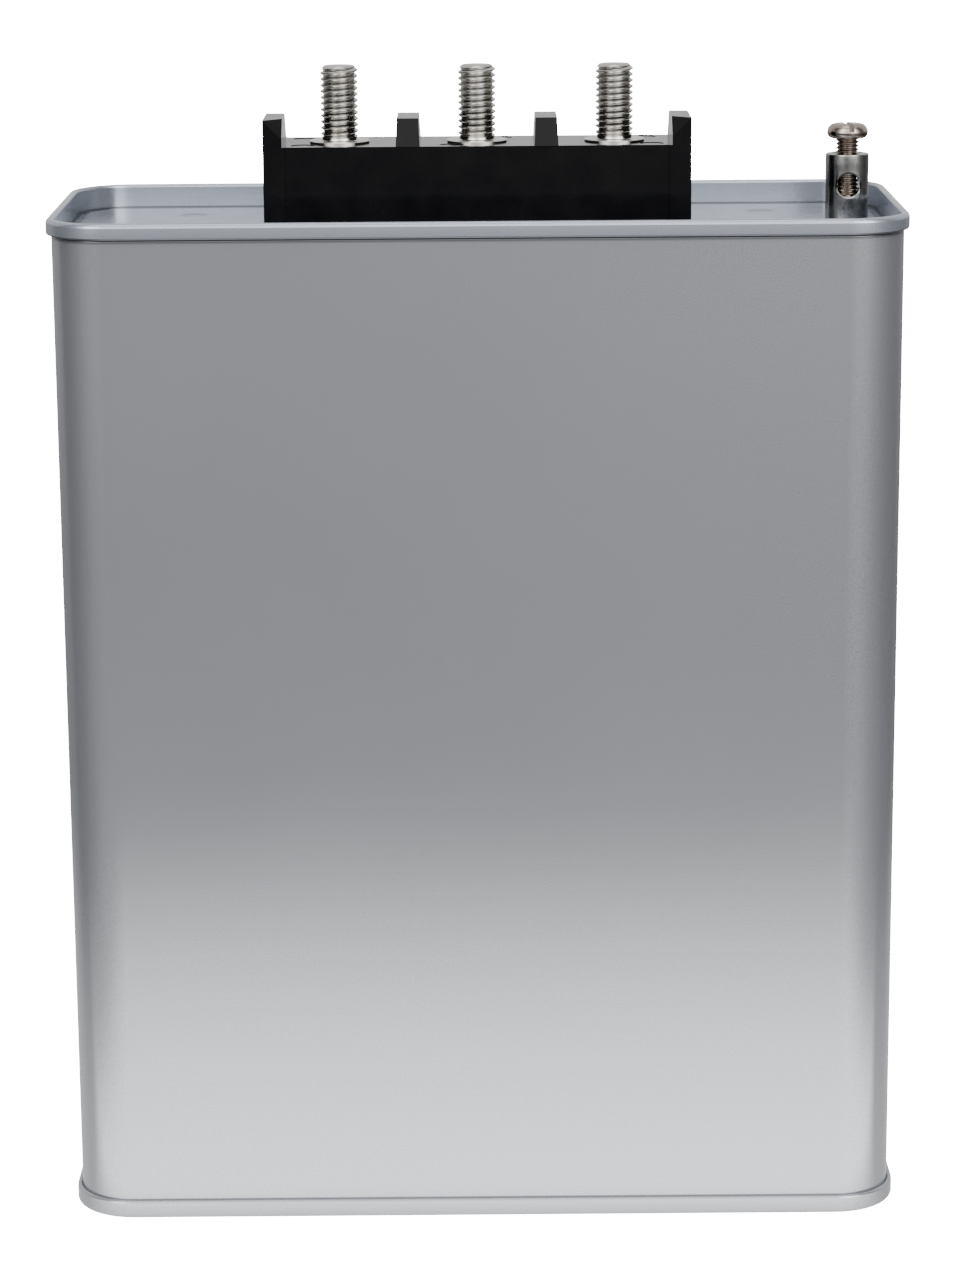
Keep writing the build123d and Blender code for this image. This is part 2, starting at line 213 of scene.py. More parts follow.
def start_edit(piece, select=True):
    """Opens one piece in edit mode, with all or none of it selected."""
    activate(piece)
    bpy.ops.object.mode_set(mode="EDIT")
    bpy.ops.mesh.select_mode(type="VERT")
    bpy.ops.mesh.select_all(action="SELECT" if select else "DESELECT")


def end_edit():
    """Goes back to object mode."""
    bpy.ops.object.mode_set(mode="OBJECT")


def pick(piece, test, edges=False):
    """Selects, in edit mode, the vertices of a piece that pass the test, or the edges whose middle does."""
    bpy.ops.mesh.select_mode(type="EDGE" if edges else "VERT")
    bpy.ops.mesh.select_all(action="DESELECT")
    end_edit()
    mesh = piece.data
    if edges:
        for edge in mesh.edges:
            first, second = (mesh.vertices[i].co for i in edge.vertices)
            edge.select = test((first + second) / 2 / MM)
    else:
        for vertex in mesh.vertices:
            vertex.select = test(vertex.co / MM)
    bpy.ops.object.mode_set(mode="EDIT")


def apply_modifier(piece, kind, **settings):
    """Adds a modifier to a piece, with its settings, and applies it."""
    activate(piece)
    bpy.ops.object.modifier_add(type=kind)
    modifier = piece.modifiers[-1]
    for name, value in settings.items():
        setattr(modifier, name, value)
    bpy.ops.object.modifier_apply(modifier=modifier.name)


def take_primitive(name):
    """Names the primitive just added, and moves its place and size into its mesh."""
    piece = bpy.context.object
    piece.name = name
    bpy.ops.object.transform_apply(location=True, rotation=True, scale=True)
    return piece


def drawn_line(name, points, closed=False):
    """A mesh line through points in millimetres, drawn by extruding one vertex again and again."""
    deselect_all()
    bpy.ops.mesh.primitive_plane_add(size=MM, location=Vector(points[0]) * MM)
    piece = take_primitive(name)
    start_edit(piece)
    bpy.ops.mesh.merge(type="CENTER")
    stops = list(points) + ([points[0]] if closed else [])
    for before, after in zip(stops, stops[1:]):
        step = (Vector(after) - Vector(before)) * MM
        bpy.ops.mesh.extrude_region_move(TRANSFORM_OT_translate={"value": step})
    bpy.ops.mesh.select_all(action="SELECT")
    bpy.ops.mesh.remove_doubles(threshold=MERGE * MM)
    end_edit()
    return piece


def close_up(piece):
    """Merges doubled vertices and turns every face outwards."""
    start_edit(piece)
    bpy.ops.mesh.remove_doubles(threshold=MERGE * MM)
    bpy.ops.mesh.normals_make_consistent(inside=False)
    end_edit()


def carry_round(piece):
    """Draws a section, which stands in the can's front right corner, round all four corners of the can."""
    half_x = CAN_LENGTH / 2 - CORNER_R
    half_y = CAN_DEPTH / 2 - CORNER_R
    runs = [
        ((0, 2 * half_y, 0), (half_x, half_y, 0)),
        ((-2 * half_x, 0, 0), (-half_x, half_y, 0)),
        ((0, -2 * half_y, 0), (-half_x, -half_y, 0)),
        ((2 * half_x, 0, 0), (half_x, -half_y, 0)),
    ]
    start_edit(piece)
    for run, corner in runs:
        bpy.ops.mesh.extrude_region_move(TRANSFORM_OT_translate={"value": Vector(run) * MM})
        bpy.ops.mesh.spin(
            steps=CORNER_STEPS, angle=math.radians(90), center=Vector(corner) * MM, axis=(0, 0, -1),
        )
    end_edit()


def sheet_section(name, line, top=0.0, up=1, closed=False):
    """A sheet's section in the can's front right corner, turned over where up is -1."""
    half_x = CAN_LENGTH / 2 - CORNER_R
    front = -CAN_DEPTH / 2 + CORNER_R
    points = [(half_x + point.x, front, top + up * point.y) for point in line]
    return drawn_line(name, points, closed)


def fill_loop(piece, height):
    """Closes the open edge loop at a height with one flat face."""
    start_edit(piece, select=False)
    bpy.ops.mesh.select_non_manifold(
        extend=False, use_wire=True, use_boundary=True,
        use_multi_face=False, use_non_contiguous=False, use_verts=False,
    )
    end_edit()
    mesh = piece.data
    for vertex in mesh.vertices:
        if abs(vertex.co.z / MM - height) > LEVEL:
            vertex.select = False
    for edge in mesh.edges:
        edge.select = all(mesh.vertices[i].select for i in edge.vertices)
    bpy.ops.object.mode_set(mode="EDIT")
    bpy.ops.mesh.edge_face_add()
    end_edit()


def remove(piece):
    """Deletes a piece that has done its work."""
    activate(piece)
    bpy.ops.object.delete()


def cut_with(piece, tool, operation="DIFFERENCE"):
    """Applies a boolean with a tool piece, then removes the tool."""
    apply_modifier(piece, "BOOLEAN", operation=operation, solver="EXACT", object=tool)
    remove(tool)


def box_piece(name, low, high):
    """A block between two corners in millimetres, to be shaped further."""
    deselect_all()
    low, high = Vector(low), Vector(high)
    bpy.ops.mesh.primitive_cube_add(size=1, location=(low + high) / 2 * MM, scale=(high - low) * MM)
    return take_primitive(name)


def rod_piece(name, radius, foot, top, x=0.0, y=0.0, sides=64):
    """An upright round bar between two heights, to be shaped further or cut with."""
    deselect_all()
    bpy.ops.mesh.primitive_cylinder_add(
        vertices=sides, radius=radius * MM, depth=(top - foot) * MM,
        location=Vector((x, y, (foot + top) / 2)) * MM,
    )
    return take_primitive(name)


def turned(name, section, x, steps=72):
    """A solid turned from a section of (radius, height) points that starts and ends on its axis."""
    piece = drawn_line(name, [(x + radius, 0, z) for radius, z in section])
    start_edit(piece)
    bpy.ops.mesh.spin(
        steps=steps, angle=math.radians(360), center=Vector((x, 0, 0)) * MM, axis=(0, 0, 1),
    )
    end_edit()
    close_up(piece)
    return piece


def threaded(name, tooth, foot, top, x, steps=48):
    """A right-hand thread: one tooth drawn up the helix, trimmed square at both ends."""
    crest, root, pitch = tooth
    flat = pitch * 3 / 16
    slope = (pitch - 2 * flat) / 2
    # The tooth starts well below the foot, and this sets the turn at which its crest shows in front
    start = foot - 1.53 * pitch
    section = (
        (root, start),
        (root, start + flat),
        (crest, start + flat + slope),
        (crest, start + 2 * flat + slope),
        (root, start + pitch),
    )
    piece = drawn_line(name, [(radius, 0, z) for radius, z in section])
    apply_modifier(
        piece, "SCREW", axis="Z", angle=math.radians(360), screw_offset=pitch * MM,
        iterations=math.ceil((top - foot) / pitch) + 2, steps=steps, render_steps=steps,
        use_merge_vertices=True, merge_threshold=MERGE * MM,
    )
    start_edit(piece)
    bpy.ops.mesh.remove_doubles(threshold=MERGE * MM)
    for height, upper in ((foot, False), (top, True)):
        bpy.ops.mesh.select_all(action="SELECT")
        bpy.ops.mesh.bisect(
            plane_co=(0, 0, height * MM), plane_no=(0, 0, 1), use_fill=True, threshold=MERGE * MM,
            clear_inner=not upper, clear_outer=upper,
        )
    bpy.ops.mesh.select_all(action="SELECT")
    bpy.ops.transform.translate(value=(x * MM, 0, 0))
    bpy.ops.mesh.normals_make_consistent(inside=False)
    end_edit()
    return piece


def moved_copy(piece, name, x):
    """A copy of a piece with its own mesh, moved sideways."""
    activate(piece)
    bpy.ops.object.duplicate()
    copy = bpy.context.object
    copy.name = name
    start_edit(copy)
    bpy.ops.transform.translate(value=(x * MM, 0, 0))
    end_edit()
    return copy


def bevelled(piece, width, segments=3):
    """Rounds the sharp edges of a piece."""
    apply_modifier(
        piece, "BEVEL", width=width * MM, segments=segments, limit_method="ANGLE",
        angle_limit=math.radians(30.0), harden_normals=False, miter_outer="MITER_ARC",
    )


def finished(piece, node, material, smooth=35.0):
    """Smooths a finished piece, gives it its material and hangs it in the place of its CAD node."""
    activate(piece)
    bpy.ops.object.shade_smooth_by_angle(angle=math.radians(smooth))
    apply_modifier(piece, "WEIGHTED_NORMAL", keep_sharp=True)
    piece.data.materials.append(material)
    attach(piece, "root")
    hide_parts(node)
    return piece


def srgb(code):
    """A linear colour from an sRGB hex code."""
    parts = [int(code[i:i + 2], 16) / 255 for i in (1, 3, 5)]
    return [part / 12.92 if part <= 0.04045 else ((part + 0.055) / 1.055) ** 2.4 for part in parts] + [1.0]


def add(tree, kind, inputs=None, out=0, **settings):
    """Adds a shader node, sets its properties, fills or links its inputs, and gives one of its outputs."""
    node = tree.nodes.new("ShaderNode" + kind)
    for name, value in settings.items():
        setattr(node, name, value)
    for name, value in (inputs or {}).items():
        if isinstance(value, bpy.types.NodeSocket):
            tree.links.new(value, node.inputs[name])
        else:
            node.inputs[name].default_value = value
    return node.outputs[out] if node.outputs else None


def span(ends, start=0.0, end=1.0):
    """The inputs that map a value between two ends onto the range from start to end."""
    return {"From Min": ends[0], "From Max": ends[1], "To Min": start, "To Max": end}


def grains(size):
    """The scale of a noise whose grains are about size millimetres across."""
    return 1 / (size * MM)


# The middle range of a noise, in which nearly all of it lies, and the settings of a soft step between two
# values and of a mix of two colours
NOISE = (0.3, 0.7)
SOFT = {"interpolation_type": "SMOOTHSTEP"}
COLOURS = {"data_type": "RGBA", "out": 2}


def new_material(name):
    """An empty node material, with its tree and its object coordinates."""
    material = bpy.data.materials.new(name)
    material.use_nodes = True
    tree = material.node_tree
    tree.nodes.clear()
    return material, tree, add(tree, "TexCoord", out="Object")


def painted_shade_under_seam(tree, place):
    """The share of painted shade in a band right under the wrapper's top seam, darker towards the seam, which
    stands for the seam's shadow.
    """
    height = add(tree, "SeparateXYZ", {"Vector": place}, out="Z")
    seam_foot = CAN_HEIGHT - TOP_SEAM
    # Painted shade: the band from 1.1 mm to 0.25 mm under the seam's foot is darkened, for the shadow under
    # the seam
    ends = ((seam_foot - 1.1) * MM, (seam_foot - 0.25) * MM)
    return add(tree, "MapRange", {"Value": height, **span(ends, 0.0, 0.8)}, **SOFT)


def painted_shade_in_groove(tree, place):
    """The share of painted shade in the lid's groove, off the level panel, and on the faces under the rim's
    edge that turn down, where shade falls.
    """
    height = add(tree, "SeparateXYZ", {"Vector": place}, out="Z")
    facing = add(tree, "NewGeometry", out="Normal")
    upward = add(tree, "SeparateXYZ", {"Vector": facing}, out="Z")
    ends = ((PANEL_TOP + 0.4) * MM, (PANEL_TOP - 0.05) * MM)
    low = add(tree, "MapRange", {"Value": height, **span(ends, 0.0, 0.8)}, **SOFT)
    aslant = add(tree, "MapRange", {"Value": upward, **span((0.97, 0.9))}, **SOFT)
    turned_down = add(tree, "MapRange", {"Value": upward, **span((0.0, -0.4), 0.0, 0.85)}, **SOFT)
    # Painted shade: the sloping faces low in the groove and the faces that turn down under the rim's edge are
    # darkened
    groove = add(tree, "Math", {0: low, 1: aslant}, operation="MULTIPLY")
    return add(tree, "Math", {0: groove, 1: turned_down}, operation="MAXIMUM")


def can_paint(can, name, tones, rough, painted_shade_share=None):
    """Silver grey enamel, sprayed on tinplate: a soft metallic sheen with a fine glitter.

    The metal flake is a few hundredths of a millimetre in life, and is drawn as coarse as it needs to show.
    The orange peel and the slow sway of the sheet bend the reflections a little.
    """
    material, tree, place = new_material(name)
    flake = add(tree, "TexNoise", {"Vector": place, "Scale": grains(0.22), "Detail": 2.0})
    peel = add(tree, "TexNoise", {"Vector": place, "Scale": grains(1.4), "Detail": 2.0})
    cloud = add(tree, "TexNoise", {"Vector": place, "Scale": grains(45.0), "Detail": 2.0})
    sway = add(tree, "TexNoise", {"Vector": place, "Scale": grains(60.0), "Detail": 1.0})
    layers = [
        (add(tree, "MapRange", {"Value": flake, **span(NOISE)}), tones[1]),
        (add(tree, "MapRange", {"Value": cloud, **span(NOISE, 0.0, 0.35)}), tones[2]),
    ]
    # Painted shade: a dark tone is mixed in where the share of shade says, under the seam and in the groove
    if painted_shade_share:
        layers.append((painted_shade_share(tree, place), can.dust))
    tone = tones[0]
    for share, layer in layers:
        tone = add(tree, "Mix", {0: share, 6: tone, 7: layer}, **COLOURS)
    wave = add(tree, "Bump", {"Height": sway, "Distance": 0.05 * MM})
    skin = add(tree, "Bump", {"Height": peel, "Distance": 0.001 * MM, "Normal": wave})
    glitter = add(tree, "Bump", {"Height": flake, "Distance": 0.0008 * MM, "Normal": skin})
    gloss = add(tree, "MapRange", {"Value": cloud, **span(NOISE, rough, rough + 0.02)})
    shader = add(tree, "BsdfPrincipled", {
        "Base Color": tone, "Roughness": gloss, "Normal": glitter, "Metallic": can.metallic,
    })
    add(tree, "OutputMaterial", {"Surface": shader})
    return material


def block_moulding(block):
    """Black thermoset, compression moulded: near black and glossy, with the faint flow of its filler."""
    material, tree, place = new_material("black_thermoset_moulding")
    flow = add(tree, "TexNoise", {"Vector": place, "Scale": grains(6.0), "Detail": 4.0})
    grain = add(tree, "TexNoise", {"Vector": place, "Scale": grains(0.35), "Detail": 2.0})
    share = add(tree, "MapRange", {"Value": flow, **span(NOISE)})
    swirl = add(tree, "Bump", {"Height": flow, "Distance": 0.01 * MM})
    shader = add(tree, "BsdfPrincipled", {
        "Base Color": add(tree, "Mix", {0: share, 6: block.dark, 7: block.light}, **COLOURS),
        "Roughness": add(tree, "MapRange", {"Value": flow, **span(NOISE, 0.1, 0.16)}),
        "Normal": add(tree, "Bump", {"Height": grain, "Distance": 0.002 * MM, "Normal": swirl}),
        "Specular IOR Level": 0.14,
    })
    add(tree, "OutputMaterial", {"Surface": shader})
    return material


def nickel(name, tones, rough):
    """Bright nickel plate over turned metal: mirror-like, with fine tool rings under it and slight stains.

    The rings are about half as wide in life, and are drawn as coarse as they need to show.
    """
    material, tree, place = new_material(name)
    along = add(tree, "SeparateXYZ", {"Vector": place}, out="Z")
    axis = add(tree, "CombineXYZ", {"Z": along})
    rings = add(tree, "TexNoise", {"Vector": axis, "Scale": grains(0.12), "Detail": 3.0})
    stain = add(tree, "TexNoise", {"Vector": place, "Scale": grains(2.5), "Detail": 4.0})
    share = add(tree, "MapRange", {"Value": stain, **span(NOISE)})
    shader = add(tree, "BsdfPrincipled", {
        "Base Color": add(tree, "Mix", {0: share, 6: tones[0], 7: tones[1]}, **COLOURS),
        "Roughness": add(tree, "MapRange", {"Value": stain, **span(NOISE, rough, rough + 0.1)}),
        "Normal": add(tree, "Bump", {"Height": rings, "Distance": 0.003 * MM}),
        "Metallic": 1.0,
    })
    add(tree, "OutputMaterial", {"Surface": shader})
    return material


def plain(name, tones, size, rough, depth, metallic=0.0):
    """A plain stock material: two tones in clouds of one size, over a grain a fifth as large."""
    material, tree, place = new_material(name)
    cloud = add(tree, "TexNoise", {"Vector": place, "Scale": grains(size), "Detail": 4.0})
    grain = add(tree, "TexNoise", {"Vector": place, "Scale": grains(size / 5), "Detail": 3.0})
    share = add(tree, "MapRange", {"Value": cloud, **span(NOISE)})
    shader = add(tree, "BsdfPrincipled", {
        "Base Color": add(tree, "Mix", {0: share, 6: srgb(tones[0]), 7: srgb(tones[1])}, **COLOURS),
        "Roughness": add(tree, "MapRange", {"Value": grain, **span(NOISE, rough, rough + 0.12)}),
        "Normal": add(tree, "Bump", {"Height": grain, "Distance": depth * MM}),
        "Metallic": metallic,
    })
    add(tree, "OutputMaterial", {"Surface": shader})
    return material


def in_mm(value):
    """A property's length in millimetres, without the noise of its single precision."""
    return round(value / MM, 4)


def make_can_body(can, paint):
    """The wrapper: one folded section carried round the can, with the lapped joint on its back."""
    hook = CORNER_R + 2 * SHEET
    inside = CORNER_R - SHEET
    hook_edge = in_mm(can.hook_edge)
    seam_foot = CAN_HEIGHT - TOP_SEAM
    outer = rounded([
        (hook, BOTTOM_SEAM - SHEET - HOOK_GAP, 0),
        (hook, SHEET, hook_edge),
        (inside, SHEET, hook_edge),
        (inside, CAN_HEIGHT - SHEET, hook_edge),
        (hook, CAN_HEIGHT - SHEET, hook_edge),
        (hook, CAN_HEIGHT - TOP_SEAM + SHEET + HOOK_GAP, 0),
    ])
    face = list(reversed(other_face(outer, SHEET)))
    crease = [Vector((CORNER_R - depth, seam_foot + rise)) for rise, depth in CREASE]
    bend = next(i for i, point in enumerate(face) if point.y < WALL_FOOT)
    piece = sheet_section("can_wrapper", outer + face[:bend] + crease + face[bend:], closed=True)
    carry_round(piece)
    close_up(piece)
    lap = box_piece(
        "lap", (-LAP_HALF, CAN_DEPTH / 2 - 0.1, LAP_FOOT), (LAP_HALF, body_high.y, seam_foot - 0.3),
    )
    bevelled(lap, LAP_EDGE, 2)
    cut_with(piece, lap, "UNION")
    return finished(piece, "can_body", paint)


def can_end(can, name, fold_in, seam, fold_edge, up):
    """A can end: its rolled section carried round the can, closed by a flat panel.

    Heights in fold_in are from the seam's outer face, and up is -1 for the base, which is turned over.
    """
    wall = CORNER_R - 2 * SHEET
    outside = CORNER_R + 3 * SHEET
    outer = rounded(fold_in + [
        (wall, 0, in_mm(can.seam_edge)),
        (outside, 0, in_mm(can.rim_edge)),
        (outside, -seam, in_mm(fold_edge)),
        (CORNER_R, -seam, in_mm(can.hook_edge)),
        (CORNER_R, -2 * SHEET - HOOK_GAP, 0),
    ])
    loop = outer + list(reversed(other_face(outer, SHEET)))
    top = CAN_HEIGHT if up > 0 else 0.0
    piece = sheet_section(name, loop, top, up)
    carry_round(piece)
    start_edit(piece)
    bpy.ops.mesh.remove_doubles(threshold=MERGE * MM)
    end_edit()
    fill_loop(piece, top - up * RECESS)
    fill_loop(piece, top - up * (RECESS + SHEET))
    close_up(piece)
    return piece


def dimple(x, depth):
    """The tool for a shallow pressed mark with sloping sides."""
    tool = rod_piece("dimple", DIMPLE_R, PANEL_TOP - depth, PANEL_TOP + 0.3, x=x, y=DIMPLE_Y, sides=48)
    start_edit(tool)
    pick(tool, lambda co: co.z > PANEL_TOP)
    bpy.ops.transform.resize(
        value=(DIMPLE_FLARE, DIMPLE_FLARE, 1), center_override=Vector((x, DIMPLE_Y, PANEL_TOP)) * MM,
    )
    end_edit()
    return tool


def make_lid(can, paint):
    """The lid: rolled rim, groove and raised panel, with its dimples, window and post hole."""
    wall = CORNER_R - 2 * SHEET
    groove_wall = wall - GROOVE_WIDTH
    groove_edge = in_mm(can.groove_edge)
    fold_in = [
        (PANEL_EDGE, -RECESS, 0),
        (groove_wall, -RECESS, groove_edge),
        (groove_wall, -GROOVE, groove_edge),
        (wall, -GROOVE, GROOVE_FOOT_R),
    ]
    piece = can_end(can, "lid_pressing", fold_in, TOP_SEAM, can.lid_fold, 1)
    below, above = PANEL_TOP - 2, PANEL_TOP + 2
    window = box_piece("window", (-WINDOW_X, -WINDOW_Y, below), (WINDOW_X, WINDOW_Y, above))
    cut_with(piece, window)
    cut_with(piece, rod_piece("post_hole", POST_HOLE_R, below, above, x=POST_X))
    for x in (-DIMPLE_X, DIMPLE_X):
        cut_with(piece, dimple(x, in_mm(can.dimple_depth)))
    return finished(piece, "lid", paint)


def make_base(can, paint):
    """The base: a plain recessed pressing with a taller seam."""
    fold_in = [(PANEL_EDGE, -RECESS, 0), (CORNER_R - 2 * SHEET, -RECESS, BASE_FOLD_R)]
    piece = can_end(can, "base_pressing", fold_in, BOTTOM_SEAM, can.base_fold, -1)
    return finished(piece, "base", paint)


def barrier(name, low, high, top_share, front_plane):
    """A barrier: drafted sides, a front cut back by a plane and a rounded slope down to the back."""
    piece = box_piece(name, low, high)
    middle = ((low[0] + high[0]) / 2, 0, low[2])
    start_edit(piece)
    if top_share != 1:
        pick(piece, lambda co: co.z > high[2] - LEVEL)
        bpy.ops.transform.resize(value=(top_share, 1, 1), center_override=Vector(middle) * MM)
    back_plane = ((0, high[1], BLOCK_TOP), (0, high[2] - BLOCK_TOP, BARRIER_SLOPE))
    for corner, normal in (back_plane, front_plane):
        bpy.ops.mesh.select_all(action="SELECT")
        bpy.ops.mesh.bisect(
            plane_co=Vector(corner) * MM, plane_no=normal,
            use_fill=True, clear_outer=True, threshold=MERGE * MM,
        )
    crest = high[1] - BARRIER_SLOPE
    pick(
        piece, lambda co: abs(co.y - crest) < NEAR_CREST and abs(co.z - high[2]) < NEAR_CREST, edges=True,
    )
    bpy.ops.mesh.bevel(offset=CREST_R * math.tan(CREST_HALF_TURN) * MM, segments=6, affect="EDGES")
    end_edit()
    close_up(piece)
    return piece


def make_terminal_block(block, moulding):
    """The terminal block: bar, end pillars, four barriers, stud seats and ejector marks."""
    half = block_high.x
    front, back = block_low.y, block_high.y
    foot = block_low.z + PLUG_HEIGHT
    piece = box_piece("terminal_block_moulding", (-half, front, foot), (half, back, BLOCK_TOP))
    steep = ((0, front, BLOCK_TOP), (0, BLOCK_TOP - BARRIER_TOP, BARRIER_DRAFT))
    for x in (-POLE_PITCH / 2, POLE_PITCH / 2):
        left, right = x - MIDDLE_BARRIER_HALF, x + MIDDLE_BARRIER_HALF
        part = barrier(
            "middle_barrier", (left, front, BLOCK_TOP - 1), (right, back, BARRIER_TOP),
            MIDDLE_BARRIER_TAPER, steep,
        )
        cut_with(piece, part, "UNION")
    for side in (-1, 1):
        near, far = side * (half - END_BARRIER), side * half
        high_corner = Vector((far, front, BARRIER_TOP))
        low_corner = Vector((near, front, BLOCK_TOP))
        set_back = Vector((near, front + BARRIER_DRAFT, BARRIER_TOP))
        normal = (low_corner - high_corner).cross(set_back - high_corner)
        normal = -normal if normal.y > 0 else normal
        part = barrier(
            "end_barrier", (min(near, far), front, BLOCK_TOP - 1), (max(near, far), back, BARRIER_TOP), 1,
            (high_corner, normal),
        )
        cut_with(piece, part, "UNION")
    inner = half - END_PILLAR
    recess = box_piece("face_recess", (-inner, front - 2, foot - 2), (inner, front + FACE_RECESS, BLOCK_TOP))
    cut_with(piece, recess)
    plug = box_piece("plug", (-PLUG_X, -PLUG_Y, block_low.z), (PLUG_X, PLUG_Y, foot + 0.5))
    cut_with(piece, plug, "UNION")
    over = BLOCK_TOP + 1
    for x in (-POLE_PITCH, 0.0, POLE_PITCH):
        cut_with(piece, rod_piece("seat", COLLAR_R, BLOCK_TOP - SEAT_DEPTH, over, x=x, sides=96))
        cut_with(piece, rod_piece("shank_hole", SHANK_HOLE_R, block_low.z - 1, BLOCK_TOP, x=x, sides=48))
    sunk = BLOCK_TOP - in_mm(block.ejector_depth)
    for x, y in EJECTOR_MARKS:
        cut_with(piece, rod_piece("ejector_mark", EJECTOR_R, sunk, over, x=x, y=y, sides=40))
    close_up(piece)
    bevelled(piece, in_mm(block.edge), 3)
    return finished(piece, "terminal_block", moulding, smooth=32.0)


def make_studs(plate):
    """The studs, turned once and copied: M8 thread, chamfered end, plain neck, sunk collar and M6 shank."""
    foot, top = stud_low.z, stud_high.z
    collar_top = BLOCK_TOP + COLLAR_RISE
    collar_foot = collar_top - COLLAR_HEIGHT
    neck_top = collar_top + NECK_HEIGHT
    body = turned("stud_blank", [
        (0, foot), (2.6, foot), (3.0, foot + 0.4), (3.0, collar_foot), (COLLAR_R, collar_foot),
        (COLLAR_R, collar_top - 0.12), (6.18, collar_top), (3.9, collar_top),
        (3.74, collar_top + 0.1), (3.66, collar_top + 0.3), (3.66, neck_top + 0.1), (3.4, neck_top + 0.3),
        (0, neck_top + 0.3),
    ], 0.0)
    stud = threaded("stud_thread", STUD_TOOTH, neck_top, top + 0.5, 0.0)
    outline = turned("stud_end", [
        (0, neck_top - 1), (3.5, neck_top - 1), (3.5, neck_top), (3.95, neck_top + 0.4),
        (3.95, top - 0.85), (3.1, top - 0.05), (2.95, top), (0, top),
    ], 0.0, steps=64)
    cut_with(stud, outline, "INTERSECT")
    cut_with(stud, body, "UNION")
    for side, x in (("left", -POLE_PITCH), ("middle", 0.0), ("right", POLE_PITCH)):
        copy = moved_copy(stud, "threaded_stud_" + side, x)
        finished(copy, "stud_" + side, plate, smooth=32.0)
    remove(stud)


def make_earth_post(metal, plate):
    """The earth post: turned pillar with a countersunk bore and an eased cross hole."""
    top, foot = post_high.z, PANEL_TOP
    post = turned("earth_pillar", [
        (0, post_low.z), (2.2, post_low.z), (POST_SHANK_R, post_low.z + 0.25), (POST_SHANK_R, foot),
        (4.35, foot), (POST_R, foot + 0.15), *((POST_R, ring) for ring in POST_RINGS),
        (POST_R, top - 0.25), (4.42, top - 0.07), (4.25, top), (3.1, top), (BORE_R, top - 0.7),
        (BORE_R, BORE_FOOT), (0, BORE_FOOT),
    ], POST_X, steps=96)
    drill = rod_piece("cross_drill", BORE_R, -8, 8, sides=96)
    start_edit(drill)
    bpy.ops.transform.rotate(value=math.radians(90), orient_axis="X", center_override=(0, 0, 0))
    bpy.ops.transform.translate(value=(POST_X * MM, 0, CROSS_HOLE_Z * MM))
    end_edit()
    cut_with(post, drill)
    close_up(post)

    def on_hole_edge(co):
        """Whether a place is on the cross hole's edge, outside on the post."""
        from_axis = math.hypot(co.x - POST_X, co.z - CROSS_HOLE_Z)
        return abs(co.y) > CROSS_HOLE_OUTSIDE and abs(from_axis - BORE_R) < NEAR_HOLE

    start_edit(post)
    pick(post, on_hole_edge, edges=True)
    bpy.ops.mesh.bevel(offset=in_mm(metal.hole_edge) * MM, segments=1, affect="EDGES")
    end_edit()
    close_up(post)
    return finished(post, "earth_post", plate)


def make_clamp_screw(metal, plate):
    """The clamp screw: pan head with a driver slot, over an M5 thread."""
    top = screw_high.z
    head_foot = top - HEAD_HEIGHT
    pan = rounded([
        (UNDER_HEAD_R, head_foot, 0), (HEAD_R, head_foot, HEAD_FOOT_EDGE), (HEAD_R, top, HEAD_TOP_EDGE),
        (0, top, 0),
    ], steps=8)
    under = [(0, head_foot - 0.6), (UNDER_HEAD_R, head_foot - 0.6), (UNDER_HEAD_R, head_foot)]
    head = turned("screw_head", under + [tuple(point) for point in pan[1:]], POST_X, steps=80)
    half_slot = in_mm(metal.slot_width) / 2
    slot_foot = top - in_mm(metal.slot_depth)
    slot = box_piece("driver_slot", (-half_slot, -8, slot_foot), (half_slot, 8, top + 2))
    start_edit(slot)
    bpy.ops.transform.rotate(value=-metal.slot_turn, orient_axis="Z", center_override=(0, 0, 0))
    bpy.ops.transform.translate(value=(POST_X * MM, 0, 0))
    end_edit()
    cut_with(head, slot)
    screw = threaded("screw_thread", SCREW_TOOTH, screw_low.z, head_foot + 0.1, POST_X)
    cut_with(screw, head, "UNION")
    screw.name = "slotted_clamp_screw"
    return finished(screw, "clamp_screw", plate, smooth=32.0)


def dress_inner_parts():
    """Gives every carried-over CAD node the look of its own stock."""
    looks = {
        # Dull and even, as cut from sheet
        "gasket_rubber": plain("black_sheet_rubber", ("#171717", "#1f1f1e"), 1.5, 0.7, 0.01),
        # Brown with a low gloss and faint clouds of resin
        "laminate": plain("brown_phenolic_laminate", ("#6b4526", "#7c5430"), 2.0, 0.45, 0.01),
        # Matt tan board with short fibres
        "pressboard": plain("calendered_pressboard", ("#a58a60", "#b59a70"), 1.2, 0.8, 0.02),
        # Grey and satin, as the metal layer shows through the film
        "film_roll": plain("wound_metallised_film", ("#a9abad", "#c4c5c6"), 4.0, 0.3, 0.01, 0.7),
        # Warm silver, dipped and a little uneven
        "tinned_copper": plain("tinned_copper_strip", ("#b9b4ab", "#cfcabf"), 3.0, 0.28, 0.005, 1.0),
        # Chalky off-white, pressed and fired
        "resistor_coat": plain("white_ceramic_case", ("#cfcbc1", "#dedad0"), 0.8, 0.6, 0.01),
        # Dark brown and glassy, as poured
        "potting_resin": plain("poured_sealing_resin", ("#3a332a", "#463e33"), 8.0, 0.3, 0.02),
        "nickel_plate": nickel("nickel_plated_nut", (srgb("#b9b2a6"), srgb("#cfc8bc")), 0.2),
    }
    for part in frame["record"]["subparts"]:
        look = looks.get(part["material_slot"])
        if look:
            mesh = frame["nodes"][part["node"]].data
            mesh.materials.clear()
            mesh.materials.append(look)


BURNT_OUT = 22.0

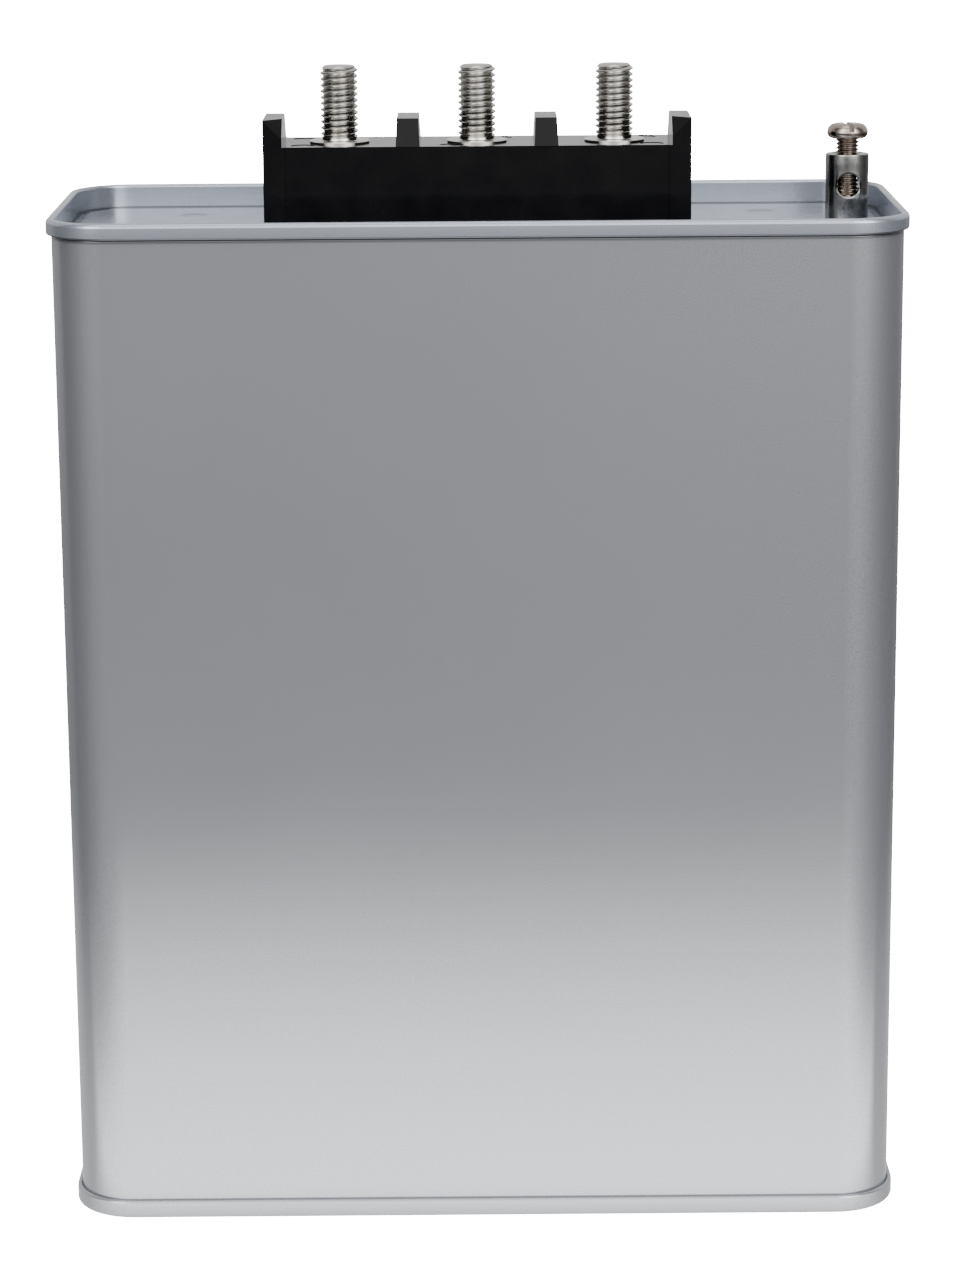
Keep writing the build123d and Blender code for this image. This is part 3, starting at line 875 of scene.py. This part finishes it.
# Brightness all the way round, by degrees turned from the front to the right: below and above the horizon
ROOM = (
    (-180, 0.9), (-166, 0.6), (-150, 0.45), (-132, 0.42), (-120, 0.36), (-108, 0.14), (-96, 0.09),
    (-84, 0.11), (-66, 0.21), (-48, 0.34), (-30, 0.38), (-8, 0.33), (6, 0.52), (30, 0.67), (42, 0.6),
    (54, 0.44), (66, 0.31), (84, 0.17), (102, 0.11), (114, 0.12), (132, 0.21), (150, 0.31), (166, 0.58),
    (180, 0.9),
)
LAMPS = (
    (-180, 1.2), (-110, 0.9), (-84, 0.3), (-52, 2.2), (-30, 6.5), (-10, 3.2), (10, 3.8), (32, 7.5),
    (54, 2.4), (84, 0.3), (110, 0.9), (180, 1.2),
)
ROOM_MOST = 2.0
LAMPS_MOST = 8.0

# The room's share near the floor and at the horizon, and the heights of a direction, from -1 to 1,
# between which one light goes over into the next
ROOM_LOW, ROOM_HIGH = 0.75, 1.3
ROOM_RISE = (-0.22, -0.13)
NADIR = (-0.5, -0.7)
NADIR_LIGHT = 0.4
HORIZON = (-0.085, 0.12)
HIGH_WALLS = (0.76, 0.9)
DIFFUSER = (0.93, 0.99)

# The bright stretch of table, in metres from the part's middle: its own middle, its half width from full
# to faded, the line at the part's front, and how the glow dies away in front, aside and behind
FLOOR_SIZE = 12.0
STRETCH_MIDDLE = 0.02
STRETCH_SIDES = (0.09, 0.24)
STRETCH_BEYOND = 1.1
FRONT_LINE = (-0.026, -0.052)
BESIDE_PART = 0.65
FADE_FRONT = (-0.365, -0.035)
FADE_ASIDE = (0.1, 0.36)
FADE_BEHIND = (0.1, 0.3)


def white_to_camera(tree, surface):
    """The surface for every ray but the camera's own, which sees burnt-out white as in the photograph."""
    glow = add(tree, "Emission", {"Color": (1.0, 1.0, 1.0, 1.0), "Strength": BURNT_OUT})
    seen = add(tree, "LightPath", out="Is Camera Ray")
    return add(tree, "MixShader", {"Fac": seen, 1: surface, 2: glow})


def make_floor(studio):
    """A plain white floor, bright close in front of the part, and without a shadow as in the photograph."""
    deselect_all()
    bpy.ops.mesh.primitive_plane_add(size=FLOOR_SIZE, location=(0, 0, 0))
    floor = bpy.context.object
    floor.name = "white_floor"
    material, tree, place = new_material("evenly_lit_white_floor")
    parts = add(tree, "SeparateXYZ", {"Vector": place}).node.outputs
    from_middle = add(tree, "Math", {0: parts["X"], 1: STRETCH_MIDDLE}, operation="SUBTRACT")
    aside = add(tree, "Math", {0: from_middle}, operation="ABSOLUTE")
    across = add(tree, "MapRange", {
        "Value": aside, **span(STRETCH_SIDES, studio.table_front, STRETCH_BEYOND),
    }, **SOFT)
    in_front = add(tree, "MapRange", {"Value": parts["Y"], **span(FRONT_LINE)}, **SOFT)
    glow = add(tree, "Mix", {0: in_front, 2: BESIDE_PART, 3: across}, data_type="FLOAT")
    outward = add(tree, "Math", {0: parts["X"]}, operation="ABSOLUTE")
    near = add(tree, "MapRange", {"Value": parts["Y"], **span(FADE_FRONT)}, **SOFT)
    for way, fade in ((outward, FADE_ASIDE), (parts["Y"], FADE_BEHIND)):
        close = add(tree, "MapRange", {"Value": way, **span(fade, 1.0, 0.0)}, **SOFT)
        near = add(tree, "Math", {0: near, 1: close}, operation="MULTIPLY")
    glow = add(tree, "Math", {0: glow, 1: near}, operation="MULTIPLY")
    lit = add(tree, "AddShader", {
        0: add(tree, "Emission", {"Strength": glow}), 1: add(tree, "BsdfTransparent"),
    })
    add(tree, "OutputMaterial", {"Surface": white_to_camera(tree, lit)})
    floor.data.materials.append(material)


def turn_curve(tree, turn, levels, most):
    """The brightness of the room all the way round, from a table of levels up to most."""
    place = add(tree, "MapRange", {"Value": turn, **span((-math.pi, math.pi))})
    ramp = add(tree, "FloatCurve", {"Value": place}).node
    ramp.mapping.use_clip = False
    curve = ramp.mapping.curves[0]
    for point, (angle, level) in zip(curve.points, (levels[0], levels[-1])):
        point.location = ((angle + 180) / 360, level / most)
    for angle, level in levels[1:-1]:
        curve.points.new((angle + 180) / 360, level / most)
    for point in curve.points:
        point.handle_type = "AUTO_CLAMPED"
    ramp.mapping.update()
    return add(tree, "Math", {0: ramp.outputs["Value"], 1: most}, operation="MULTIPLY")


def make_world(studio):
    """The light: a dim room, two soft lights above the horizon, pale walls high up and a diffuser."""
    world = bpy.data.worlds.new("studio_world")
    bpy.context.scene.world = world
    world.use_nodes = True
    tree = world.node_tree
    tree.nodes.clear()
    direction = add(tree, "TexCoord", out="Generated")
    parts = add(tree, "SeparateXYZ", {"Vector": direction}).node.outputs
    height = parts["Z"]
    toward = add(tree, "Math", {0: parts["Y"], 1: -1.0}, operation="MULTIPLY")
    turn = add(tree, "Math", {0: parts["X"], 1: toward}, operation="ARCTAN2")
    rise = add(tree, "MapRange", {"Value": height, **span(ROOM_RISE, ROOM_LOW, ROOM_HIGH)}, **SOFT)
    room = turn_curve(tree, turn, ROOM, ROOM_MOST)
    lamps = turn_curve(tree, turn, LAMPS, LAMPS_MOST)
    light = add(tree, "Math", {0: room, 1: rise}, operation="MULTIPLY")
    for ends, level in (
        (NADIR, NADIR_LIGHT), (HORIZON, lamps), (HIGH_WALLS, studio.walls), (DIFFUSER, studio.overhead),
    ):
        share = add(tree, "MapRange", {"Value": height, **span(ends)}, **SOFT)
        light = add(tree, "Mix", {0: share, 2: light, 3: level}, data_type="FLOAT")
    background = add(tree, "Background", {"Strength": light})
    add(tree, "OutputWorld", {"Surface": white_to_camera(tree, background)})


def make_camera(studio):
    """The camera at the photograph's place and angle."""
    data = bpy.data.cameras.new("photo_camera")
    camera = bpy.data.objects.new("photo_camera", data)
    bpy.context.scene.collection.objects.link(camera)
    data.sensor_width = 36.0
    data.lens = studio.lens
    data.clip_start = 0.01
    pose = Matrix.Rotation(studio.yaw, 4, "Z")
    pose = pose @ Matrix.Rotation(math.radians(90) - studio.pitch, 4, "X")
    pose = pose @ Matrix.Rotation(studio.roll, 4, "Z")
    camera.matrix_world = Matrix.Translation(studio.camera_place) @ pose
    bpy.context.scene.camera = camera


def length(name, description, size):
    """A length that a user may change, by its default in millimetres."""
    return bpy.props.FloatProperty(
        name=name, description=description, default=size * MM, min=0.0, precision=5,
        subtype="DISTANCE", unit="LENGTH",
    )


def colour(name, description, code):
    """A colour that a user may change, by its default as an sRGB hex code."""
    return bpy.props.FloatVectorProperty(
        name=name, description=description, default=srgb(code), size=4, min=0.0, max=1.0, subtype="COLOR",
    )


def factor(name, description, default):
    """A share from 0 to 1 that a user may change."""
    return bpy.props.FloatProperty(
        name=name, description=description, default=default, min=0.0, max=1.0, subtype="FACTOR",
    )


def slant(name, description, default):
    """An angle that a user may change, by its default in radians."""
    return bpy.props.FloatProperty(name=name, description=description, default=default, subtype="ANGLE")


def brightness(name, description, default):
    """A brightness that a user may change."""
    return bpy.props.FloatProperty(name=name, description=description, default=default, min=0.0)


class CanSettings(bpy.types.PropertyGroup):
    """The small radii and the paint of the can."""

    seam_edge: length("Seam edge", "Radius of the seam's edge towards the middle", 0.68)
    rim_edge: length("Rim edge", "Radius of the seam's outer edge", 0.95)
    hook_edge: length("Hook edge", "Radius of the folds inside the seams", 0.45)
    lid_fold: length("Lid fold", "Radius of the top seam's free edge", 0.42)
    base_fold: length("Base fold", "Radius of the bottom seam's free edge", 0.6)
    groove_edge: length("Groove edge", "Radius of both edges of the lid's groove", 0.28)
    dimple_depth: length("Dimple depth", "Depth of the two pressed marks in the lid", 0.28)
    wall_dark: colour("Wall, dark", "Darker tone of the enamel's flake on the wrapper and the base", "#97999d")
    wall_light: colour("Wall, light", "Lighter tone of that flake", "#b1b3b8")
    wall_cloud: colour("Wall, clouds", "Tone of the wide clouds over it", "#a6a8ad")
    lid_dark: colour("Lid, dark", "Darker tone of the enamel's flake on the lid", "#959aa3")
    lid_light: colour("Lid, light", "Lighter tone of that flake", "#b1b6c0")
    lid_cloud: colour("Lid, clouds", "Tone of the wide clouds over it", "#a5aab4")
    # Painted shade: the dark tone that stands for the shade under the seam and in the groove
    dust: colour("Dust", "Tone of the dust under the seam and in the groove", "#3c3d3f")
    wall_roughness: factor("Wall roughness", "Roughness of the enamel on the wrapper and the base", 0.13)
    lid_roughness: factor("Lid roughness", "Roughness of the enamel on the lid", 0.2)
    metallic: factor("Metallic", "How metallic the enamel's flake makes it", 0.75)


class BlockSettings(bpy.types.PropertyGroup):
    """The small sizes and the colours of the terminal block."""

    edge: length("Edge", "Radius of the moulding's edges", 0.18)
    ejector_depth: length("Ejector depth", "Depth of the round ejector marks", 0.12)
    dark: colour("Dark", "Darker tone of the moulding", "#08080a")
    light: colour("Light", "Lighter tone of the moulding", "#0d0d0e")


class MetalSettings(bpy.types.PropertyGroup):
    """The small sizes of the earth terminal, and the colours of all plated parts."""

    hole_edge: length("Hole edge", "Width of the eased edge of the post's cross hole", 0.32)
    slot_width: length("Slot width", "Width of the screw's driver slot", 1.1)
    slot_depth: length("Slot depth", "Depth of the screw's driver slot", 1.5)
    slot_turn: slant("Slot turn", "How far the slot is turned from front to back", math.radians(7.0))
    stud_dark: colour("Studs, dark", "Darker tone of the studs", "#bdbab5")
    stud_light: colour("Studs, light", "Lighter tone of the studs", "#d4d1cb")
    post_dark: colour("Post, dark", "Darker tone of the earth post", "#8c8d8b")
    post_light: colour("Post, light", "Lighter tone of the earth post", "#a1a19f")
    screw_dark: colour("Screw, dark", "Darker tone of the clamp screw", "#978c82")
    screw_light: colour("Screw, light", "Lighter tone of the clamp screw", "#b5aaa0")
    roughness: factor("Roughness", "Roughness of the studs and the post", 0.12)
    screw_roughness: factor("Screw roughness", "Roughness of the clamp screw", 0.08)


class StudioSettings(bpy.types.PropertyGroup):
    """The camera and the light of the photograph."""

    lens: bpy.props.FloatProperty(
        name="Lens", description="Focal length on a 36 mm sensor, along the picture's long side",
        default=104.92,
    )
    pitch: slant("Pitch", "How far the camera looks down", 0.23453)
    yaw: slant("Yaw", "Turn of the camera about the vertical", -0.00117)
    roll: slant("Roll", "Tilt of the camera about its own axis", -0.00732)
    camera_place: bpy.props.FloatVectorProperty(
        name="Camera place", description="Where the camera stands", default=(-0.00104, -0.7782, 0.30315),
        subtype="TRANSLATION", unit="LENGTH",
    )
    table_front: brightness("Table front", "Brightness of the table right in front of the part", 3.4)
    walls: brightness("Walls", "Brightness of the walls high up", 1.2)
    overhead: brightness("Overhead", "Brightness of the diffuser overhead", 3.5)


class CAPACITOR_OT_can(bpy.types.Operator):
    """Builds the wrapper, the lid and the base"""

    bl_idname = "capacitor.can"
    bl_label = "Build the can"

    def execute(self, context):
        can = context.scene.capacitor_can
        wall = (can.wall_dark, can.wall_light, can.wall_cloud)
        lid = (can.lid_dark, can.lid_light, can.lid_cloud)
        make_can_body(can, can_paint(
            can, "silver_enamel_on_wrapper", wall, can.wall_roughness, painted_shade_under_seam))
        make_lid(can, can_paint(can, "silver_enamel_on_lid", lid, can.lid_roughness, painted_shade_in_groove))
        make_base(can, can_paint(can, "silver_enamel_on_base", wall, can.wall_roughness))
        return {"FINISHED"}


class CAPACITOR_OT_terminal_block(bpy.types.Operator):
    """Builds the moulded terminal block"""

    bl_idname = "capacitor.terminal_block"
    bl_label = "Build the terminal block"

    def execute(self, context):
        block = context.scene.capacitor_block
        make_terminal_block(block, block_moulding(block))
        return {"FINISHED"}


class CAPACITOR_OT_studs(bpy.types.Operator):
    """Builds the three threaded studs"""

    bl_idname = "capacitor.studs"
    bl_label = "Build the studs"

    def execute(self, context):
        metal = context.scene.capacitor_metal
        make_studs(nickel("nickel_plated_stud", (metal.stud_dark, metal.stud_light), metal.roughness))
        return {"FINISHED"}


class CAPACITOR_OT_earth_terminal(bpy.types.Operator):
    """Builds the earth post and its clamp screw"""

    bl_idname = "capacitor.earth_terminal"
    bl_label = "Build the earth terminal"

    def execute(self, context):
        metal = context.scene.capacitor_metal
        post = (metal.post_dark, metal.post_light)
        screw = (metal.screw_dark, metal.screw_light)
        make_earth_post(metal, nickel("nickel_plated_post", post, metal.roughness))
        make_clamp_screw(metal, nickel("nickel_plated_screw", screw, metal.screw_roughness))
        return {"FINISHED"}


class CAPACITOR_OT_inner_parts(bpy.types.Operator):
    """Gives the parts inside the can, and the gasket, their materials"""

    bl_idname = "capacitor.inner_parts"
    bl_label = "Dress the inner parts"

    def execute(self, context):
        dress_inner_parts()
        return {"FINISHED"}


class CAPACITOR_OT_stage(bpy.types.Operator):
    """Sets up the floor, the light and the camera"""

    bl_idname = "capacitor.stage"
    bl_label = "Set the stage"

    def execute(self, context):
        studio = context.scene.capacitor_studio
        make_floor(studio)
        make_world(studio)
        make_camera(studio)
        return {"FINISHED"}


class CAPACITOR_PT_sidebar(bpy.types.Panel):
    """The steps of the build, in order, and their settings"""

    bl_idname = "CAPACITOR_PT_sidebar"
    bl_label = "Capacitor"
    bl_space_type = "VIEW_3D"
    bl_region_type = "UI"
    bl_category = "Capacitor"

    def draw(self, context):
        for operator in OPERATORS:
            self.layout.operator(operator.bl_idname)
        for name, group in SETTINGS:
            for setting in group.__annotations__:
                self.layout.prop(getattr(context.scene, name), setting)


SETTINGS = (
    ("capacitor_can", CanSettings),
    ("capacitor_block", BlockSettings),
    ("capacitor_metal", MetalSettings),
    ("capacitor_studio", StudioSettings),
)
OPERATORS = (
    CAPACITOR_OT_can,
    CAPACITOR_OT_terminal_block,
    CAPACITOR_OT_studs,
    CAPACITOR_OT_earth_terminal,
    CAPACITOR_OT_inner_parts,
    CAPACITOR_OT_stage,
)
CLASSES = tuple(group for name, group in SETTINGS) + OPERATORS + (CAPACITOR_PT_sidebar,)


def register():
    for cls in CLASSES:
        bpy.utils.register_class(cls)
    for name, group in SETTINGS:
        setattr(bpy.types.Scene, name, bpy.props.PointerProperty(type=group))


def unregister():
    for name, group in SETTINGS:
        delattr(bpy.types.Scene, name)
    for cls in reversed(CLASSES):
        bpy.utils.unregister_class(cls)


def main():
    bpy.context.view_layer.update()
    register()
    bpy.ops.capacitor.can()
    bpy.ops.capacitor.terminal_block()
    bpy.ops.capacitor.studs()
    bpy.ops.capacitor.earth_terminal()
    bpy.ops.capacitor.inner_parts()
    bpy.ops.capacitor.stage()


if __name__ == "__main__":
    main()
